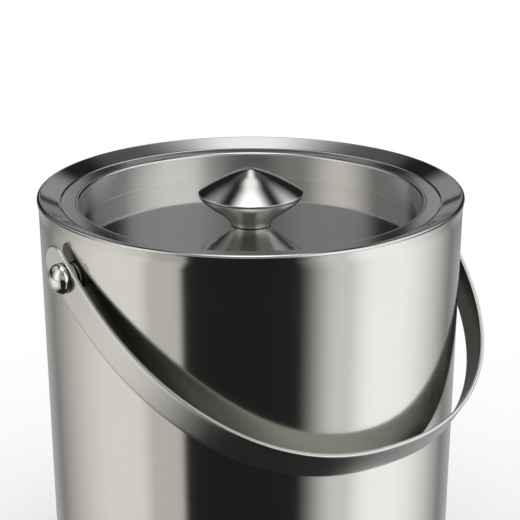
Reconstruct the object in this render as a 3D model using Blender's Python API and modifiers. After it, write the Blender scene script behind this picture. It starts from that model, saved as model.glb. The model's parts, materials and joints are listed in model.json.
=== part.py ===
"""Lidded, double-walled ice bucket with a swinging strap handle.

Metres, +Z up. The origin is the middle of the base, on the table. The handle turns about a line along X, and
is folded down towards -Y. The lid sits in the rim and lifts straight up.
"""

import math

import bmesh
import bpy

# Clearances
FIT_GAP = 0.0003            # between two pieces that touch
RUNNING_GAP = 0.0003        # round a pin or a bush, on the radius
FOAM_GAP = 0.0005           # round the insulation

# Body
BODY_HEIGHT = 0.1800        # table to the top of the rim
RIM_RADIUS = 0.0900         # outside of the rolled edge
RIM_ROLL = 0.0004           # hollow inside the rolled edge, as a radius
RIM_SLOPE = math.radians(21.0)
RIM_OVERHANG = 0.00065      # rolled edge past the shell
RIM_FACE = 0.0081           # width of the sloping face, seen from above
SEAT_EDGE = 0.0010          # rounding where the seat turns down into the liner
WALL_TAPER = 0.020          # radius lost for each unit of height, going down
SHELL_WALL = 0.0008
SHELL_CORNER = 0.0080       # rounding at the foot of the shell
FOOT_FLANGE = 0.0060        # turned-in width under the base plate
LINER_WALL = 0.0008
LINER_FLOOR = 0.0170        # table to the liner's floor
LINER_CORNER = 0.0120
BASE_PLATE = 0.0010
BASE_PLATE_INSET = 0.0008   # base plate's edge to the start of the shell's corner
PAD_PROUD = 0.0018          # rubber pad below the shell

# Lid
LID_WALL = 0.0008
LID_CLEARANCE = 0.0005      # lid flange to its pocket, on the radius
LID_FLUSH = 0.0002          # lid flange below the end of the rim's slope
LID_FLANGE = 0.0073         # width of the flange, from its edge to the recess
LID_DEPTH = 0.0116          # top of the flange to the lid's floor
LID_EDGE = 0.0020           # rounding from flange to recess
LID_CORNER = 0.0005         # rounding from recess to floor
LID_TO_LINER = 0.0012       # lid's wall to the liner, on the radius
LID_FOAM_COVER = 0.0024     # foam below the screw's head
LID_COVER_CORNER = 0.0020

# Knob
KNOB_RADIUS = 0.0222
KNOB_NECK = 0.0086
KNOB_STEM = 0.0134          # lid's floor to the knob's edge
KNOB_FOOT_LEAN = math.radians(20.0)  # stem from upright, at the lid's floor
KNOB_EDGE_LEAN = math.radians(24.0)  # stem from upright, at the knob's edge
KNOB_CROWN = 0.0112         # knob's edge to its tip
KNOB_CROWN_POWER = 1.4      # 1 is a straight cone, 2 is a rounded dome
KNOB_EDGE = 0.0005          # thickness at the edge
KNOB_BOSS = 0.0040          # solid metal over the screw's end
SCREW_RADIUS = 0.0022
SCREW_HEAD_RADIUS = 0.0045
SCREW_HEAD = 0.0022
WASHER_RADIUS = 0.0065
WASHER = 0.0008

# Handle
PIVOT_DROP = 0.0207         # top of the rim to the pivots
HANDLE_WIDTH = 0.0145
HANDLE_THICKNESS = 0.0016
HANDLE_BOW = 0.0258         # top of the arch past the rim's radius
HANDLE_TAIL = 0.00775       # pivot to where the round end starts
HANDLE_SQUARENESS = 2.29    # 2 is an ellipse, more is squarer
HANDLE_RIM_CLEARANCE = 0.0014
HANDLE_REST_GAP = 0.0004    # strap to shell where the handle rests

# Pivots
STUD_RADIUS = 0.0025
STUD_HEAD_RADIUS = 0.0055
STUD_HEAD = 0.0012
BACKING_WIDTH = 0.0240
BACKING_HEIGHT = 0.0200
BACKING_WALL = 0.0012
BACKING_TO_FOAM = 0.0040
BUSH_RADIUS = 0.0040
BUSH_FLANGE_RADIUS = 0.0058
BUSH_PROUD = 0.00015        # bush past the strap, so that the nut leaves the strap free
PIVOT_WASHER = 0.0004
DOME_RADIUS = 0.0063
DOME_HEIGHT = 0.0050
DOME_SKIRT = 0.0008
DOME_CAP = 0.0014           # metal over the stud's end

# Facets
BODY_STEPS = 48
KNOB_STEPS = 32
PIVOT_STEPS = 20
BACKING_STEPS = 6
ARCH_STEPS = 48
STRAP_END_STEPS = 5
STRAP_TIP_ANGLE = math.radians(80.0)
CORNER_STEPS = 4
EDGE_STEPS = 2
ROLL_STEPS = 7
FLARE_STEPS = 7
CROWN_STEPS = 8
DOME_STEPS = 5
MERGE = 0.00001
STEEPEST_REST = math.radians(80.0)
REST_HALVINGS = 50

# Levels and radii that several pieces share
roll_outside = RIM_ROLL + LINER_WALL
roll_centre = (RIM_RADIUS - roll_outside, BODY_HEIGHT - roll_outside)
slope_top = (
    roll_centre[0] - roll_outside * math.sin(RIM_SLOPE),
    roll_centre[1] + roll_outside * math.cos(RIM_SLOPE),
)
slope_end = slope_top[1] - RIM_FACE * math.tan(RIM_SLOPE)
seat_radius = slope_top[0] - RIM_FACE
shell_top = BODY_HEIGHT - 2 * roll_outside - FIT_GAP
foot_top = PAD_PROUD + SHELL_WALL

lid_flange_top = slope_end - LID_FLUSH
lid_flange_radius = seat_radius - LID_CLEARANCE
lid_recess_radius = lid_flange_radius - LID_FLANGE
lid_floor = lid_flange_top - LID_DEPTH
lid_wall_outside = lid_recess_radius + LID_WALL
seat_level = lid_flange_top - LID_WALL - FIT_GAP
liner_radius = lid_wall_outside + LID_TO_LINER

screw_bore = SCREW_RADIUS + RUNNING_GAP
screw_stack = FIT_GAP + WASHER + FIT_GAP + SCREW_HEAD
lid_foam = screw_stack + LID_FOAM_COVER

pivot_level = BODY_HEIGHT - PIVOT_DROP
strap_inside = RIM_RADIUS + HANDLE_RIM_CLEARANCE
strap_outside = strap_inside + HANDLE_THICKNESS
strap_reach = RIM_RADIUS + HANDLE_BOW
stud_bore = STUD_RADIUS + RUNNING_GAP
bush_bore = BUSH_RADIUS + RUNNING_GAP


def shell_radius(level):
    """Outside radius of the tapered shell at a height above the table."""
    return RIM_RADIUS - RIM_OVERHANG - WALL_TAPER * (shell_top - level)


def liner_inside(level):
    """Inside radius of the liner, which tapers as the shell does."""
    return liner_radius - WALL_TAPER * (seat_level - level)


def arc(centre, radii, start, end, steps):
    """Points along an ellipse's arc in the (radius, height) plane, with the angles in degrees."""
    points = []
    for step in range(steps + 1):
        angle = math.radians(start + (end - start) * step / steps)
        points.append((centre[0] + radii[0] * math.cos(angle), centre[1] + radii[1] * math.sin(angle)))
    return points


def round_arc(centre, radius, start, end, steps):
    """Points along a circle's arc."""
    return arc(centre, (radius, radius), start, end, steps)


def finish(obj, colour, roughness, metallic):
    """Give an object its own Principled material."""
    material = bpy.data.materials.new(obj.name)
    material.use_nodes = True
    shader = material.node_tree.nodes["Principled BSDF"]
    shader.inputs["Base Color"].default_value = (*colour, 1.0)
    shader.inputs["Roughness"].default_value = roughness
    shader.inputs["Metallic"].default_value = metallic
    obj.data.materials.append(material)


def brushed_steel(obj):
    finish(obj, (0.62, 0.61, 0.59), 0.32, 1.0)


def polished_steel(obj):
    finish(obj, (0.66, 0.66, 0.65), 0.10, 1.0)


def plain_steel(obj):
    finish(obj, (0.50, 0.50, 0.50), 0.45, 1.0)


def white_foam(obj):
    finish(obj, (0.88, 0.87, 0.83), 0.90, 0.0)


def black_rubber(obj):
    finish(obj, (0.03, 0.03, 0.03), 0.80, 0.0)


def dark_nylon(obj):
    finish(obj, (0.08, 0.08, 0.08), 0.55, 0.0)


def add_object(name, mesh, collection, parent=None):
    """Link a mesh as a named object, under an empty if one is given."""
    obj = bpy.data.objects.new(name, mesh)
    collection.objects.link(obj)
    obj.parent = parent
    return obj


def add_empty(name, collection, level):
    """An empty on the bucket's axis that carries a group of pieces."""
    empty = bpy.data.objects.new(name, None)
    empty.location = (0.0, 0.0, level)
    collection.objects.link(empty)
    return empty


def turned(name, outline, collection, parent=None, steps=BODY_STEPS, ring=False, sweep=math.tau, wall=0.0):
    """Turn an outline of (radius, height) points about Z, and thicken it if it is a sheet."""
    mesh = bpy.data.meshes.new(name)
    shape = bmesh.new()
    corners = [shape.verts.new((radius, 0.0, height)) for radius, height in outline]
    for first, second in zip(corners, corners[1:]):
        shape.edges.new((first, second))
    if ring:
        shape.edges.new((corners[-1], corners[0]))
    shape.to_mesh(mesh)
    shape.free()
    obj = add_object(name, mesh, collection, parent)
    screw = obj.modifiers.new("Turn", "SCREW")
    screw.angle = sweep
    screw.steps = steps
    screw.render_steps = steps
    screw.use_merge_vertices = True
    screw.merge_threshold = MERGE
    if wall:
        thicken(obj, wall)
    return obj


def thicken(obj, wall):
    """Give a sheet its thickness, behind the face that its normals leave from."""
    sheet = obj.modifiers.new("Wall", "SOLIDIFY")
    sheet.thickness = wall
    sheet.offset = -1.0
    sheet.use_even_offset = True


def cross_cutter(name, radius, half_length, collection):
    """A cylinder along the handle's axis, for holes that go through both sides."""
    mesh = bpy.data.meshes.new(name)
    shape = bmesh.new()
    bmesh.ops.create_cone(
        shape, cap_ends=True, segments=PIVOT_STEPS, radius1=radius, radius2=radius, depth=2 * half_length
    )
    shape.to_mesh(mesh)
    shape.free()
    obj = add_object(name, mesh, collection)
    obj.location = (0.0, 0.0, pivot_level)
    obj.rotation_euler = (0.0, math.radians(90.0), 0.0)
    obj.hide_render = True
    obj.display_type = "WIRE"
    return obj


def cut(obj, cutter):
    """Take a cutter's shape out of an object."""
    hole = obj.modifiers.new("Holes", "BOOLEAN")
    hole.operation = "DIFFERENCE"
    hole.object = cutter


def build_body(parts, stud_cutter):
    """Shell, liner, insulation, base plate and pad."""
    corner_level = PAD_PROUD + SHELL_CORNER
    corner_start = shell_radius(corner_level) - SHELL_CORNER
    outline = [(shell_radius(shell_top), shell_top)]
    outline += round_arc((corner_start, corner_level), SHELL_CORNER, 0.0, -90.0, CORNER_STEPS)
    outline.append((corner_start - FOOT_FLANGE, PAD_PROUD))
    shell = turned("outer_shell", outline, parts, wall=SHELL_WALL)
    cut(shell, stud_cutter)
    brushed_steel(shell)

    liner_corner_level = LINER_FLOOR + LINER_CORNER
    liner_corner_start = liner_inside(liner_corner_level) - LINER_CORNER
    outline = [(0.0, LINER_FLOOR)]
    outline += round_arc((liner_corner_start, liner_corner_level), LINER_CORNER, -90.0, 0.0, CORNER_STEPS)
    seat_edge_centre = (liner_radius + SEAT_EDGE, seat_level - SEAT_EDGE)
    outline += round_arc(seat_edge_centre, SEAT_EDGE, 180.0, 90.0, EDGE_STEPS)
    outline.append((seat_radius, seat_level))
    outline.append((seat_radius, slope_end))
    outline += round_arc(roll_centre, roll_outside, 90.0 + math.degrees(RIM_SLOPE), -90.0, ROLL_STEPS)
    liner = turned("inner_liner", outline, parts, wall=LINER_WALL)
    brushed_steel(liner)

    foam_low = corner_level
    foam_high = pivot_level - BACKING_HEIGHT / 2 - BACKING_TO_FOAM
    outline = [
        (shell_radius(foam_high) - SHELL_WALL - FOAM_GAP, foam_high),
        (shell_radius(foam_low) - SHELL_WALL - FOAM_GAP, foam_low),
        (liner_inside(foam_low) + LINER_WALL + FOAM_GAP, foam_low),
        (liner_inside(foam_high) + LINER_WALL + FOAM_GAP, foam_high),
    ]
    white_foam(turned("insulation_sleeve", outline, parts, ring=True))

    plate_low = foot_top + FIT_GAP
    plate_high = plate_low + BASE_PLATE
    plate_radius = corner_start - BASE_PLATE_INSET
    plain_steel(disc("base_plate", plate_radius, plate_low, plate_high, parts))

    disc_high = LINER_FLOOR - LINER_WALL - FOAM_GAP
    disc_radius = liner_inside(foam_low) + LINER_WALL
    white_foam(disc("insulation_disc", disc_radius, plate_high + FOAM_GAP, disc_high, parts))

    pad_radius = corner_start - FOOT_FLANGE - FIT_GAP
    black_rubber(disc("base_pad", pad_radius, 0.0, plate_low - FIT_GAP, parts))


def disc(name, radius, low, high, collection, parent=None):
    """A plain round disc between two heights."""
    outline = [(0.0, high), (radius, high), (radius, low), (0.0, low)]
    return turned(name, outline, collection, parent)


def build_lid(parts):
    """Lid pan, cover, insulation and knob, in heights above the lid's floor."""
    lid = add_empty("lid", parts, lid_floor)

    outline = [(screw_bore, 0.0)]
    floor_corner = (lid_recess_radius - LID_CORNER, LID_CORNER)
    outline += round_arc(floor_corner, LID_CORNER, -90.0, 0.0, EDGE_STEPS)
    edge_centre = (lid_recess_radius + LID_EDGE, LID_DEPTH - LID_EDGE)
    outline += round_arc(edge_centre, LID_EDGE, 180.0, 90.0, CORNER_STEPS)
    outline.append((lid_flange_radius, LID_DEPTH))
    polished_steel(turned("lid_pan", outline, parts, lid, wall=LID_WALL))

    cover_top = -LID_WALL - FIT_GAP
    cover_low = cover_top - lid_foam - FOAM_GAP - LID_WALL
    outline = [(lid_wall_outside, cover_top)]
    corner_centre = (lid_wall_outside - LID_COVER_CORNER, cover_low + LID_COVER_CORNER)
    outline += round_arc(corner_centre, LID_COVER_CORNER, 0.0, -90.0, EDGE_STEPS)
    outline.append((0.0, cover_low))
    brushed_steel(turned("lid_cover", outline, parts, lid, wall=LID_WALL))

    foam_radius = lid_wall_outside - LID_COVER_CORNER - FOAM_GAP
    foam_hole = WASHER_RADIUS + FOAM_GAP
    outline = [
        (foam_radius, cover_top),
        (foam_radius, cover_top - lid_foam),
        (foam_hole, cover_top - lid_foam),
        (foam_hole, cover_top),
    ]
    white_foam(turned("lid_insulation", outline, parts, lid, ring=True))

    build_knob(parts, lid)


def build_knob(parts, lid):
    """Flared stem, cone, and the screw and washer that hold them to the lid's floor."""
    base_low = FIT_GAP
    base_high = KNOB_STEM - FIT_GAP
    bore_end = KNOB_STEM - KNOB_BOSS
    rise = base_high - base_low
    spread = KNOB_RADIUS - KNOB_NECK
    first = math.tan(KNOB_FOOT_LEAN) * rise / spread
    last = math.tan(KNOB_EDGE_LEAN) * rise / spread
    outline = [(0.0, base_high)]
    for step in range(FLARE_STEPS + 1):
        share = 1.0 - step / FLARE_STEPS
        out = first * share + (3 - 2 * first - last) * share ** 2 + (first + last - 2) * share ** 3
        outline.append((KNOB_NECK + spread * out, base_low + rise * share))
    outline += [(screw_bore, base_low), (screw_bore, bore_end), (0.0, bore_end)]
    polished_steel(turned("knob_base", outline, parts, lid, KNOB_STEPS))

    tip = KNOB_STEM + KNOB_CROWN
    side_fall = KNOB_CROWN - KNOB_EDGE
    outline = []
    for step in range(CROWN_STEPS + 1):
        share = step / CROWN_STEPS
        outline.append((KNOB_RADIUS * share, tip - side_fall * share ** KNOB_CROWN_POWER))
    outline += [(KNOB_RADIUS, KNOB_STEM), (0.0, KNOB_STEM)]
    polished_steel(turned("knob_cap", outline, parts, lid, KNOB_STEPS))

    washer_high = -LID_WALL - FIT_GAP
    washer_low = washer_high - WASHER
    outline = [
        (WASHER_RADIUS, washer_high),
        (WASHER_RADIUS, washer_low),
        (screw_bore, washer_low),
        (screw_bore, washer_high),
    ]
    plain_steel(turned("knob_washer", outline, parts, lid, PIVOT_STEPS, ring=True))

    head_high = washer_low - FIT_GAP
    head_low = head_high - SCREW_HEAD
    outline = [
        (0.0, bore_end - FIT_GAP),
        (SCREW_RADIUS, bore_end - FIT_GAP),
        (SCREW_RADIUS, head_high),
        (SCREW_HEAD_RADIUS, head_high),
        (SCREW_HEAD_RADIUS, head_low),
        (0.0, head_low),
    ]
    plain_steel(turned("knob_screw", outline, parts, lid, PIVOT_STEPS))


def strap_outline():
    """Outer face of the strap from one round end to the other, as (across, along, half width)."""
    half = HANDLE_WIDTH / 2
    end = []
    for step in range(STRAP_END_STEPS + 1):
        angle = STRAP_TIP_ANGLE * (1 - step / STRAP_END_STEPS)
        end.append((strap_outside, -HANDLE_TAIL - half * math.sin(angle), half * math.cos(angle)))
    power = 2 / HANDLE_SQUARENESS
    arch = []
    for step in range(ARCH_STEPS + 1):
        angle = math.pi * step / ARCH_STEPS
        across = math.copysign(abs(math.cos(angle)) ** power, math.cos(angle))
        arch.append((strap_outside * across, strap_reach * abs(math.sin(angle)) ** power, half))
    other_end = [(-across, along, width) for across, along, width in reversed(end)]
    return end + arch + other_end


def rest_gap(drop):
    """Least distance from the folded strap to the shell, with the handle turned down by an angle."""
    gaps = []
    for across, along, half in strap_outline():
        across_inside = across * strap_inside / strap_outside
        along_inside = along * (1 - HANDLE_THICKNESS / strap_reach)
        forward = along_inside * math.cos(drop) - half * math.sin(drop)
        level = pivot_level - along_inside * math.sin(drop) - half * math.cos(drop)
        gaps.append(math.hypot(across_inside, forward) - shell_radius(level))
    return min(gaps)


def rest_angle():
    """Angle below level at which the folded handle comes to rest against the shell."""
    low = 0.0
    high = STEEPEST_REST
    for _ in range(REST_HALVINGS):
        middle = (low + high) / 2
        if rest_gap(middle) > HANDLE_REST_GAP:
            low = middle
        else:
            high = middle
    return low


def build_handle(parts, bush_cutter):
    """The strap, flat in its own XY plane with its arch towards -Y, turned down about the pivots."""
    mesh = bpy.data.meshes.new("handle_strap")
    shape = bmesh.new()
    lower = [shape.verts.new((across, -along, -half)) for across, along, half in strap_outline()]
    edges = [shape.edges.new(pair) for pair in zip(lower, lower[1:])]
    extruded = bmesh.ops.extrude_edge_only(shape, edges=edges)["geom"]
    for corner in extruded:
        if isinstance(corner, bmesh.types.BMVert):
            corner.co.z = -corner.co.z
    shape.to_mesh(mesh)
    shape.free()
    strap = add_object("handle_strap", mesh, parts)
    strap.location = (0.0, 0.0, pivot_level)
    strap.rotation_euler = (rest_angle(), 0.0, 0.0)
    thicken(strap, HANDLE_THICKNESS)
    cut(strap, bush_cutter)
    brushed_steel(strap)


def build_pivot(side, turn, parts, stud_cutter):
    """One pivot, turned about the handle's axis, with heights measured from the body's axis."""
    pivot = add_empty("pivot_" + side, parts, pivot_level)
    pivot.rotation_euler = (0.0, turn, 0.0)

    shell_outside = shell_radius(pivot_level)
    backing_outside = shell_outside - SHELL_WALL - FIT_GAP
    backing_inside = backing_outside - BACKING_WALL
    build_backing(side, turn, parts, stud_cutter)

    curve = backing_inside - math.sqrt(backing_inside ** 2 - STUD_HEAD_RADIUS ** 2)
    head_high = backing_inside - curve - WALL_TAPER * STUD_HEAD_RADIUS - FIT_GAP
    head_low = head_high - STUD_HEAD
    bush_high = strap_outside + BUSH_PROUD
    dome_low = bush_high + FIT_GAP
    dome_high = dome_low + DOME_HEIGHT
    bore_end = dome_high - DOME_CAP

    outline = [
        (0.0, bore_end - FIT_GAP),
        (STUD_RADIUS, bore_end - FIT_GAP),
        (STUD_RADIUS, head_high),
        (STUD_HEAD_RADIUS, head_high),
        (STUD_HEAD_RADIUS, head_low),
        (0.0, head_low),
    ]
    plain_steel(turned("pivot_stud_" + side, outline, parts, pivot, PIVOT_STEPS))

    washer_high = strap_inside - FIT_GAP
    washer_low = washer_high - PIVOT_WASHER
    flange_low = shell_outside + WALL_TAPER * BUSH_FLANGE_RADIUS + FIT_GAP
    flange_high = washer_low - FIT_GAP
    outline = [
        (BUSH_RADIUS, bush_high),
        (BUSH_RADIUS, flange_high),
        (BUSH_FLANGE_RADIUS, flange_high),
        (BUSH_FLANGE_RADIUS, flange_low),
        (stud_bore, flange_low),
        (stud_bore, bush_high),
    ]
    plain_steel(turned("pivot_bush_" + side, outline, parts, pivot, PIVOT_STEPS, ring=True))

    outline = [
        (BUSH_FLANGE_RADIUS, washer_high),
        (BUSH_FLANGE_RADIUS, washer_low),
        (bush_bore, washer_low),
        (bush_bore, washer_high),
    ]
    dark_nylon(turned("pivot_washer_" + side, outline, parts, pivot, PIVOT_STEPS, ring=True))

    skirt = dome_low + DOME_SKIRT
    outline = arc((0.0, skirt), (DOME_RADIUS, dome_high - skirt), 90.0, 0.0, DOME_STEPS)
    outline += [(DOME_RADIUS, dome_low), (stud_bore, dome_low), (stud_bore, bore_end), (0.0, bore_end)]
    polished_steel(turned("pivot_dome_nut_" + side, outline, parts, pivot, PIVOT_STEPS))


def build_backing(side, turn, parts, stud_cutter):
    """Plate curved to the inside of the shell, behind one pivot."""
    high = pivot_level + BACKING_HEIGHT / 2
    low = pivot_level - BACKING_HEIGHT / 2
    inset = SHELL_WALL + FIT_GAP
    outline = [(shell_radius(high) - inset, high), (shell_radius(low) - inset, low)]
    sweep = BACKING_WIDTH / shell_radius(pivot_level)
    name = "pivot_backing_plate_" + side
    plate = turned(name, outline, parts, steps=BACKING_STEPS, sweep=sweep, wall=BACKING_WALL)
    facing = 0.0 if turn > 0.0 else math.pi
    plate.rotation_euler = (0.0, 0.0, facing - sweep / 2)
    cut(plate, stud_cutter)
    plain_steel(plate)


def main():
    for obj in list(bpy.data.objects):
        bpy.data.objects.remove(obj)
    parts = bpy.data.collections.new("ice_bucket")
    cutters = bpy.data.collections.new("cutters")
    for collection in (parts, cutters):
        bpy.context.scene.collection.children.link(collection)

    stud_cutter = cross_cutter("stud_holes", stud_bore, strap_outside, cutters)
    bush_cutter = cross_cutter("bush_holes", bush_bore, strap_outside + DOME_HEIGHT, cutters)
    build_body(parts, stud_cutter)
    build_lid(parts)
    build_handle(parts, bush_cutter)
    build_pivot("left", math.radians(-90.0), parts, stud_cutter)
    build_pivot("right", math.radians(90.0), parts, stud_cutter)


if __name__ == "__main__":
    main()
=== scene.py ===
"""Dresses the packed ice bucket: finer steel pieces, their finishes and the studio they stand in.

Metres, +Z up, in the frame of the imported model. The origin is the middle of the base, on the table. The
handle turns about a line along X, and the folded strap lies towards -Y.
"""

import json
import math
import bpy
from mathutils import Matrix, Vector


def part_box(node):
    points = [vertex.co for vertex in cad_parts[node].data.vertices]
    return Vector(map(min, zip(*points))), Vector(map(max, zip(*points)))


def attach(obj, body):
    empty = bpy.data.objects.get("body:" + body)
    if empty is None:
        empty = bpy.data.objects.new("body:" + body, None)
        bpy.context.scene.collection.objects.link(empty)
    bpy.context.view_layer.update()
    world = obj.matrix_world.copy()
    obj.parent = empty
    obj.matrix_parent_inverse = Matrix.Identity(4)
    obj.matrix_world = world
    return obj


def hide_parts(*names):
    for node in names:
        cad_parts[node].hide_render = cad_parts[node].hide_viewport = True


bl_info = {
    "name": "Ice bucket dressing",
    "version": (1, 0, 0),
    "blender": (4, 5, 0),
    "location": "3D View > Sidebar > Ice bucket",
    "description": "Builds the ice bucket's visible pieces and finishes around its packed frame",
    "category": "Add Mesh",
}

from collections import namedtuple

import bmesh
import bpy
from bpy.props import FloatProperty, FloatVectorProperty, PointerProperty
from mathutils import Matrix, Vector

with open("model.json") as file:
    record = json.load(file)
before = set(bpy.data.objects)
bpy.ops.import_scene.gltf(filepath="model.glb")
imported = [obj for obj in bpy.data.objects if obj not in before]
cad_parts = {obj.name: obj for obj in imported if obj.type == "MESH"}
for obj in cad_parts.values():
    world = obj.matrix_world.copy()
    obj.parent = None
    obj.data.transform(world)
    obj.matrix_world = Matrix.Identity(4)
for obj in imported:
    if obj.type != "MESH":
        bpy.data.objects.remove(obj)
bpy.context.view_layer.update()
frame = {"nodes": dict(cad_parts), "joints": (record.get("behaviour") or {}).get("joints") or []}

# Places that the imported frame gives
LINER_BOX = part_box("inner_liner")
SHELL_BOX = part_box("outer_shell")
PAN_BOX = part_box("lid_pan")
COVER_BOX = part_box("lid_cover")
CAP_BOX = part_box("knob_cap")
STEM_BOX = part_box("knob_base")
STRAP_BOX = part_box("handle_strap")
DOME_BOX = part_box("pivot_dome_nut_right")
BUSH_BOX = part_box("pivot_bush_right")
RING_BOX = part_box("pivot_washer_right")
PAD_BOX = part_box("base_pad")
SWING = next(joint for joint in frame["joints"] if joint["name"] == "handle_swing")
PIVOT_LEVEL = SWING["pos_m"][2]
REST_DROP = math.radians((SWING["range_deg"][1] - 180.0) / 2)

# How finely the pieces are cut
BODY_STEPS = 224
KNOB_STEPS = 128
PIVOT_STEPS = 64
ARCH_STEPS = 120
CURVE_STEPS = 24
ROUNDING_STEPS = 4          # cuts in a small rounding
ROUNDING_STEP = 0.0010      # and one more for each of these in its radius
STRAP_EDGE_STEPS = 3
STRAP_COLUMNS = 8
END_ROWS = 4                # rows in the strap's round end
TAIL_ROWS = 2               # rows between the round end and the bush's hole
BORE_ROWS = 2               # rows from the bush's middle to the edge of its hole
HOLD = 0.0005               # loop beside a corner, so that long flat walls shade flat
MERGE = 0.000002
SHARP_ANGLE = math.radians(38.0)
UPRIGHT = 0.5               # share of a normal that tells a wall from a floor, or a face from an edge

# Steel sheet of the walls, and small roundings of edges
SHEET = 0.0008
KNOB_EDGE_ROUNDING = 0.00018
DOME_EDGE_ROUNDING = 0.0003
BUSH_EDGE_ROUNDING = 0.00015
WASHER_EDGE_ROUNDING = 0.0001

# Patterns in the finishes
STRAP_MAP = "strap_length"
STRAP_HAIRLINE = 0.0006
STRAP_RUN = 0.030
STRAP_CLOUDS = 0.012
NOISE_LOW = 0.3             # nearly all of a noise lies between these
NOISE_HIGH = 0.7
LINE_NOISE = {"Scale": 1.0, "Detail": 4.0, "Roughness": 0.6}
CLOUD_NOISE = {"Detail": 3.0, "Roughness": 0.55}
GRAIN_NOISE = {"Detail": 3.0}
CLOUD_SHARE = 0.35          # clouds against lines in the steels
TINT_SPREAD = 0.05          # how much darker the steels get in places
GRAIN_SPREAD = 0.2          # and the rubber, nylon and foam
ACROSS = 0.25               # of a turn, from along the lines to across them

# Studio panels that the steel mirrors, by direction from the bucket, in degrees. A side of 0 is towards the
# camera, and plus is to its right. A panel rises from nothing to its full level between its first two
# numbers, and falls back to nothing between its last two, both round the sides and in height. A mirrored
# panel stands on both sides. A level of 1 is white.
Panel = namedtuple("Panel", "mirrored tint sides heights level")
WARM = "fffbf5"
PLAIN = "fffffe"
COOL = "fbfeff"
PANELS = (
    # left softbox, and the table that it lights
    Panel(False, WARM, (-170.0, -100.0, -40.0, -35.0), (-62.0, -27.0, -12.0, -6.0), 0.66),
    Panel(False, WARM, (-170.0, -82.0, -66.0, -40.0), (-62.0, -27.0, -12.0, -6.0), 0.96),
    Panel(False, WARM, (-110.0, -66.0, -64.0, -22.0), (-13.0, -4.0, 50.0, 68.0), 1.15),
    # right softbox, and the table that it lights
    Panel(False, PLAIN, (23.0, 49.0, 85.0, 160.0), (-70.0, -45.0, -16.0, -8.0), 0.80),
    Panel(False, PLAIN, (29.0, 72.0, 85.0, 160.0), (-70.0, -45.0, -16.0, -8.0), 1.25),
    Panel(False, PLAIN, (10.0, 44.0, 60.0, 118.0), (-13.0, -4.0, 50.0, 68.0), 1.35),
    # table behind, and the wall over it, with two narrow dark gaps that the lid's floor shows at its ends
    Panel(True, COOL, (108.0, 163.0, 190.0, 200.0), (-70.0, -45.0, -19.0, -14.0), 0.45),
    Panel(True, COOL, (99.0, 110.0, 190.0, 200.0), (-20.0, -11.0, -6.0, 3.0), 0.17),
    Panel(False, COOL, (-181.0, -178.0, -176.4, -175.7), (-8.0, 4.0, 24.0, 31.0), 0.30),
    Panel(False, COOL, (-175.1, -174.6, -171.0, -164.0), (-8.0, 4.0, 24.0, 31.0), 0.33),
    Panel(False, COOL, (164.0, 171.0, 174.6, 175.1), (-8.0, 4.0, 24.0, 31.0), 0.36),
    Panel(False, COOL, (175.8, 176.6, 178.0, 181.0), (-8.0, 4.0, 24.0, 31.0), 0.25),
    Panel(True, COOL, (176.5, 178.0, 190.0, 200.0), (-8.0, 4.0, 24.0, 31.0), 0.15),
    Panel(True, COOL, (88.0, 104.0, 130.0, 152.0), (8.0, 16.0, 20.0, 34.0), 0.36),
    Panel(False, COOL, (-155.0, -120.0, -90.0, -70.0), (20.0, 34.0, 44.0, 62.0), 0.70),
    Panel(False, COOL, (70.0, 90.0, 120.0, 155.0), (20.0, 34.0, 44.0, 62.0), 1.35),
    Panel(True, COOL, (142.0, 160.0, 190.0, 200.0), (34.0, 42.0, 61.0, 68.0), 0.11),
    # overhead softbox, with its end behind the bucket
    Panel(True, PLAIN, (163.0, 176.5, 190.0, 200.0), (33.0, 53.0, 70.0, 72.0), 1.25),
    Panel(True, PLAIN, (144.0, 166.0, 190.0, 200.0), (56.0, 66.0, 76.0, 80.0), 1.25),
    Panel(True, PLAIN, (-20.0, -10.0, 190.0, 200.0), (64.0, 84.0, 100.0, 110.0), 2.00),
    Panel(True, PLAIN, (-20.0, -10.0, 190.0, 200.0), (76.0, 86.0, 100.0, 110.0), 3.20),
    # ceiling and wall on the camera's side
    Panel(True, PLAIN, (-20.0, -10.0, 70.0, 130.0), (30.0, 50.0, 100.0, 110.0), 0.36),
    Panel(True, PLAIN, (-20.0, -10.0, 45.0, 67.0), (0.0, 13.0, 32.0, 40.0), 0.40),
)
DARK = 0.017                # level between the panels
FLOOR_ROUGHNESS = 0.9
FLOOR_LIFT = 0.13           # brings the floor up to white where no shadow falls on it
STEEL_BOUNCES = 8           # fewer leave black places under the knob and behind the strap


def linear(hex_code):
    """An sRGB hex value as linear red, green and blue."""
    channels = [int(hex_code[start:start + 2], 16) / 255.0 for start in (0, 2, 4)]
    return [c / 12.92 if c <= 0.04045 else ((c + 0.055) / 1.055) ** 2.4 for c in channels]


def length(name, description, default):
    """A size in metres that a user may change."""
    return FloatProperty(name=name, description=description, default=default, unit="LENGTH", precision=5)


def number(name, description, default):
    """A plain number that a user may change."""
    return FloatProperty(name=name, description=description, default=default)


def degrees(name, description, default):
    """An angle that a user may change, written in degrees."""
    return FloatProperty(
        name=name, description=description, default=math.radians(default), subtype="ANGLE"
    )


def colour(name, description, hex_code):
    """A colour that a user may change, written as sRGB and held as linear."""
    return FloatVectorProperty(
        name=name, description=description, default=linear(hex_code), subtype="COLOR", size=3,
        min=0.0, max=1.0,
    )


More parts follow.
